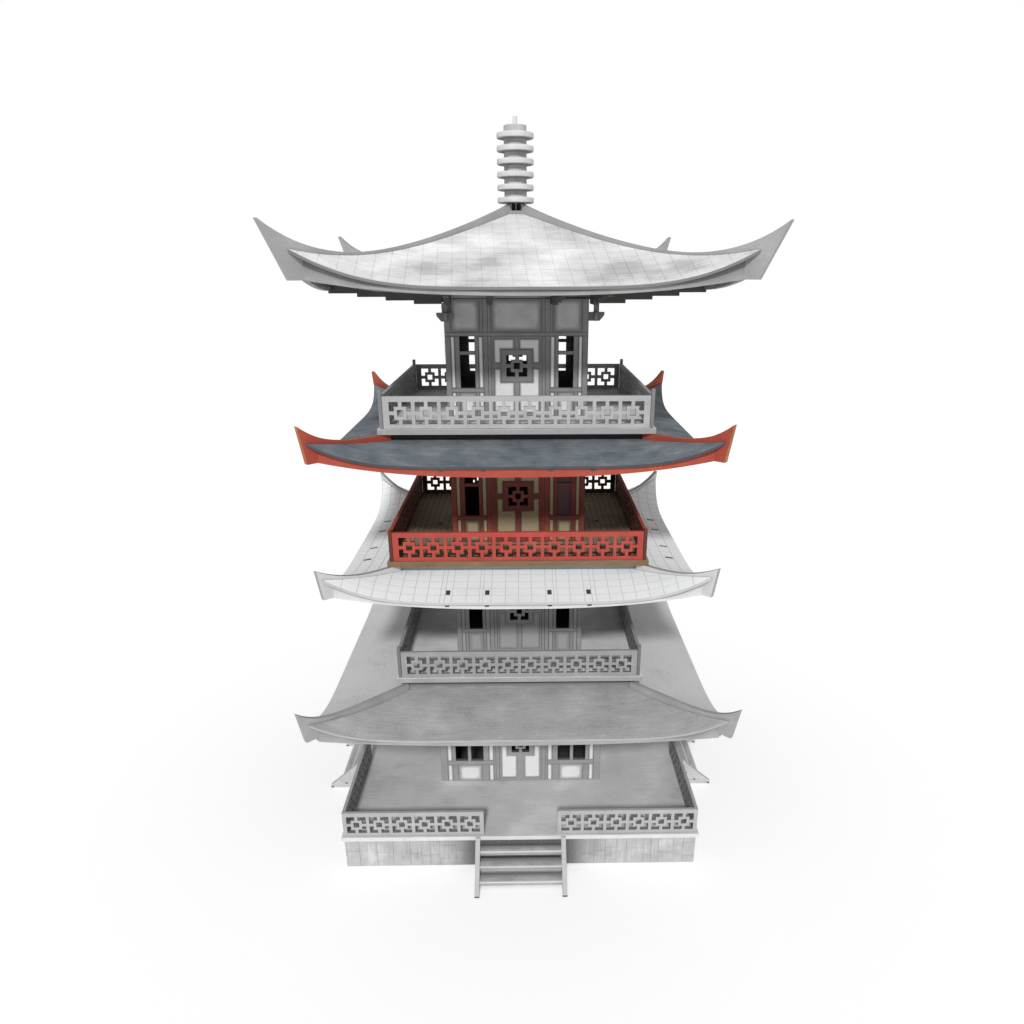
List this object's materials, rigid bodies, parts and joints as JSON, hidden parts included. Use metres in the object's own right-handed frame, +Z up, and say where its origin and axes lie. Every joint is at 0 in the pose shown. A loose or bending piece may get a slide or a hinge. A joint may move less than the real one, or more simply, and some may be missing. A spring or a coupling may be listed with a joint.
{
  "type": "pagoda model",
  "caption": "Tabletop model of a square pagoda in cut sheet board: stepped storeys with windows and doors, fretted balcony fences, upswept roofs, open stairs and a disc finial.",
  "frame": {"origin": "on the ground, under the middle of the plinth", "axes": "+Z up along the tower's axis, -Y towards the front stair, +X to the right seen from the front"},
  "size_m": [0.2956, 0.2956, 0.459],
  "materials": {
    "plinth_stone": "matt painted board with cut stone joints",
    "ground_deck": "matt painted board",
    "balcony_deck": "matt painted board",
    "balcony_deck_olive": "matt painted board",
    "fence_grey": "matt painted board",
    "fence_red": "satin painted board",
    "wall_grey": "matt painted board with paler panels",
    "wall_cream": "matt painted board with cream panels",
    "stair_grey": "matt painted board",
    "roof_frame_grey": "matt painted board",
    "roof_frame_white": "matt painted board",
    "roof_frame_red": "satin painted board",
    "shingle_top": "matt bent board with engraved tile lines",
    "shingle_slate": "brushed matt bent board",
    "shingle_white": "matt bent board with engraved tile lines",
    "shingle_ash": "brushed matt bent board",
    "finial_grey": "matt painted board and rod"
  },
  "bodies": {
    "root": {"plinth_front_wall": "plinth_stone", "plinth_right_wall": "plinth_stone", "plinth_back_wall": "plinth_stone", "plinth_left_wall": "plinth_stone", "ground_deck": "ground_deck", "ground_front_fence_left": "fence_grey", "ground_front_fence_right": "fence_grey", "ground_right_fence_left": "fence_grey", "ground_right_fence_right": "fence_grey", "ground_back_fence_left": "fence_grey", "ground_back_fence_right": "fence_grey", "ground_left_fence_left": "fence_grey", "ground_left_fence_right": "fence_grey", "front_stair": "stair_grey", "right_stair": "stair_grey", "back_stair": "stair_grey", "left_stair": "stair_grey", "storey_1_front_wall": "wall_grey", "storey_1_right_wall": "wall_grey", "storey_1_back_wall": "wall_grey", "storey_1_left_wall": "wall_grey", "roof_1_frame": "roof_frame_grey", "roof_1_panels": "shingle_ash", "storey_2_front_wall": "wall_grey", "storey_2_right_wall": "wall_grey", "storey_2_back_wall": "wall_grey", "storey_2_left_wall": "wall_grey", "balcony_2_deck": "balcony_deck", "balcony_2_front_fence": "fence_grey", "balcony_2_right_fence": "fence_grey", "balcony_2_back_fence": "fence_grey", "balcony_2_left_fence": "fence_grey", "roof_2_frame": "roof_frame_white", "roof_2_panels": "shingle_white", "storey_3_front_wall": "wall_cream", "storey_3_right_wall": "wall_cream", "storey_3_back_wall": "wall_cream", "storey_3_left_wall": "wall_cream", "balcony_3_deck": "balcony_deck_olive", "balcony_3_front_fence": "fence_red", "balcony_3_right_fence": "fence_red", "balcony_3_back_fence": "fence_red", "balcony_3_left_fence": "fence_red", "roof_3_frame": "roof_frame_red", "roof_3_panels": "shingle_slate", "storey_4_front_wall": "wall_grey", "storey_4_right_wall": "wall_grey", "storey_4_back_wall": "wall_grey", "storey_4_left_wall": "wall_grey", "balcony_4_deck": "balcony_deck", "balcony_4_front_fence": "fence_grey", "balcony_4_right_fence": "fence_grey", "balcony_4_back_fence": "fence_grey", "balcony_4_left_fence": "fence_grey", "roof_4_frame": "roof_frame_grey", "roof_4_panels": "shingle_top", "finial": "finial_grey"}
  },
  "joints": []
}
